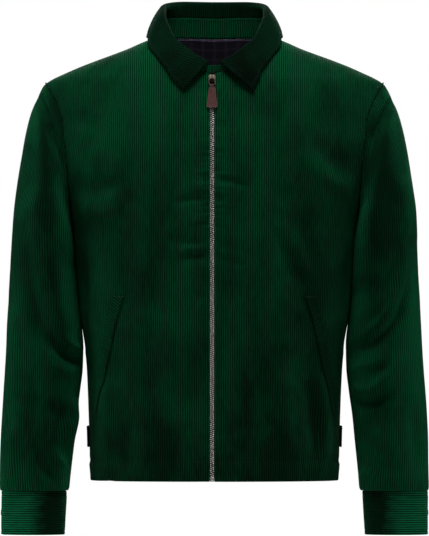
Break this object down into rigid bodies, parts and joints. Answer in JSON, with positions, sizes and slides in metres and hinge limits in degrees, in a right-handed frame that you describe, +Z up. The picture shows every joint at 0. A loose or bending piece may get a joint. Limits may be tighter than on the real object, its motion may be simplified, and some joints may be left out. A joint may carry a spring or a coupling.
{
  "type": "corduroy zip jacket",
  "caption": "Zipped corduroy jacket in worn, hollow form, with a turned-down collar, slanted welt pockets, plain cuffs and waist tabs; the zip's leather pull swings.",
  "frame": {"origin": "between the wearer's shoulders, on the jacket's middle plane, level with the back neck seam", "axes": "+Z up towards the neck, -Y out of the zipped front, +X towards the wearer's left sleeve"},
  "size_m": [0.6216, 0.262, 0.7738],
  "materials": {
    "cord": "green corduroy, matt pile",
    "dark_cord": "green corduroy, matt pile",
    "lining": "smooth dark navy lining with a faint check",
    "leather": "dark brown, satin",
    "metal": "aged silver",
    "tape": "woven tape",
    "button": "satin"
  },
  "bodies": {
    "root": {"front_left": "cord", "front_right": "cord", "back": "cord", "sleeve_left": "cord", "sleeve_right": "cord", "cuff_left": "cord", "cuff_button_left": "button", "cuff_right": "cord", "cuff_button_right": "button", "collar_stand": "dark_cord", "collar_fall": "dark_cord", "pocket_welt_left": "cord", "waist_tab_left": "dark_cord", "tab_button_left": "button", "pocket_welt_right": "cord", "waist_tab_right": "dark_cord", "tab_button_right": "button", "lining_back": "lining", "zip_chain": "metal", "zip_box": "metal", "zip_tape_left": "tape", "zip_tape_right": "tape", "zip_slider": "metal"},
    "pull": {"pull_ring": "metal", "zip_pull": "leather"}
  },
  "joints": [
    {"name": "pull_swing", "type": "hinge", "parent": "root", "child": "pull", "pos_m": [-0.0035, -0.09748, -0.0563], "axis": [-1, 0, 0], "range_deg": [0, 140]}
  ]
}
